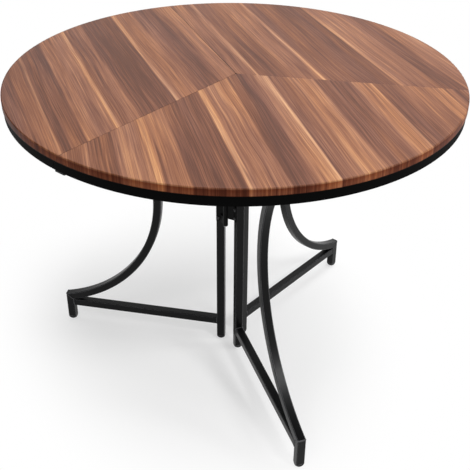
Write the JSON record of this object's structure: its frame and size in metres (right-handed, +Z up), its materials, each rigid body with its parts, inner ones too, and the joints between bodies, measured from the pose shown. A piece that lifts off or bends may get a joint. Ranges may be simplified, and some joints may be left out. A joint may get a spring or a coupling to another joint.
{
  "type": "round folding table",
  "caption": "Round dining table whose walnut-look leaves tip upright on black tube frames that close together like a book, so that it stores flat.",
  "frame": {"origin": "on the floor, under the middle of the round top", "axes": "+Z up, -Y along the front leg frame (frame_b)"},
  "size_m": [1, 1, 0.755],
  "materials": {
    "walnut_laminate": "striped walnut-look laminate, satin",
    "edge_band": "walnut-look edge band, satin",
    "rim_black": "black lacquered fibreboard, matt",
    "powder_coat": "black powder coat, fine texture",
    "hinge_black": "black painted steel",
    "pin_steel": "turned steel",
    "screw_steel": "black oxide steel",
    "saddle_nylon": "black glass-filled nylon",
    "black_plastic": "black moulded plastic"
  },
  "bodies": {
    "frame_a": {"inner_post_a": "powder_coat", "top_rail_a": "powder_coat", "rail_plugs_a": "black_plastic", "bottom_rail_a": "powder_coat", "outer_leg_a": "powder_coat", "foot_post_a": "powder_coat", "foot_glides_a": "black_plastic", "hinge_screws_a": "screw_steel", "hinge_plates_ab_a": "hinge_black", "hinge_pins_ab": "pin_steel", "hinge_plates_ca_a": "hinge_black", "hinge_pins_ca": "pin_steel"},
    "leaf_a": {"leaf_board_a": "walnut_laminate", "edge_band_a": "edge_band", "rim_bar_a": "rim_black", "rim_screws_a": "screw_steel", "tilt_saddles_a": "saddle_nylon", "saddle_caps_a": "saddle_nylon", "saddle_screws_a": "screw_steel", "pull_tab_a": "black_plastic", "tab_screws_a": "screw_steel"},
    "frame_b": {"inner_post_b": "powder_coat", "top_rail_b": "powder_coat", "rail_plugs_b": "black_plastic", "bottom_rail_b": "powder_coat", "outer_leg_b": "powder_coat", "foot_post_b": "powder_coat", "foot_glides_b": "black_plastic", "hinge_screws_b": "screw_steel", "hinge_plates_ab_b": "hinge_black"},
    "leaf_b": {"leaf_board_b": "walnut_laminate", "edge_band_b": "edge_band", "rim_bar_b": "rim_black", "rim_screws_b": "screw_steel", "tilt_saddles_b": "saddle_nylon", "saddle_caps_b": "saddle_nylon", "saddle_screws_b": "screw_steel", "pull_tab_b": "black_plastic", "tab_screws_b": "screw_steel"},
    "frame_c": {"inner_post_c": "powder_coat", "top_rail_c": "powder_coat", "rail_plugs_c": "black_plastic", "bottom_rail_c": "powder_coat", "outer_leg_c": "powder_coat", "foot_post_c": "powder_coat", "foot_glides_c": "black_plastic", "hinge_screws_c": "screw_steel", "hinge_plates_ca_c": "hinge_black"},
    "leaf_c": {"leaf_board_c": "walnut_laminate", "edge_band_c": "edge_band", "rim_bar_c": "rim_black", "rim_screws_c": "screw_steel", "tilt_saddles_c": "saddle_nylon", "saddle_caps_c": "saddle_nylon", "saddle_screws_c": "screw_steel", "pull_tab_c": "black_plastic", "tab_screws_c": "screw_steel"}
  },
  "joints": [
    {"name": "frame_b_swing", "type": "hinge", "parent": "frame_a", "child": "frame_b", "pos_m": [-0.02858, -0.0165, 0.475], "axis": [0, 0, -1], "range_deg": [0, 120]},
    {"name": "frame_c_swing", "type": "hinge", "parent": "frame_a", "child": "frame_c", "pos_m": [0, 0.033, 0.475], "axis": [0, 0, 1], "range_deg": [0, 120]},
    {"name": "leaf_a_tilt", "type": "hinge", "parent": "frame_a", "child": "leaf_a", "pos_m": [-0.16454, 0.095, 0.725], "axis": [-0.866, 0.5, 0], "range_deg": [0, 90]},
    {"name": "leaf_b_tilt", "type": "hinge", "parent": "frame_b", "child": "leaf_b", "pos_m": [0, -0.19, 0.725], "axis": [0, -1, 0], "range_deg": [0, 90]},
    {"name": "leaf_c_tilt", "type": "hinge", "parent": "frame_c", "child": "leaf_c", "pos_m": [0.16454, 0.095, 0.725], "axis": [0.866, 0.5, 0], "range_deg": [0, 90]}
  ],
  "couplings": [
    {"joint": "frame_c_swing", "follows": "frame_b_swing", "ratio": 1},
    {"joint": "leaf_a_tilt", "follows": "frame_b_swing", "ratio": 0.75},
    {"joint": "leaf_b_tilt", "follows": "frame_b_swing", "ratio": 0.75},
    {"joint": "leaf_c_tilt", "follows": "frame_b_swing", "ratio": 0.75}
  ]
}
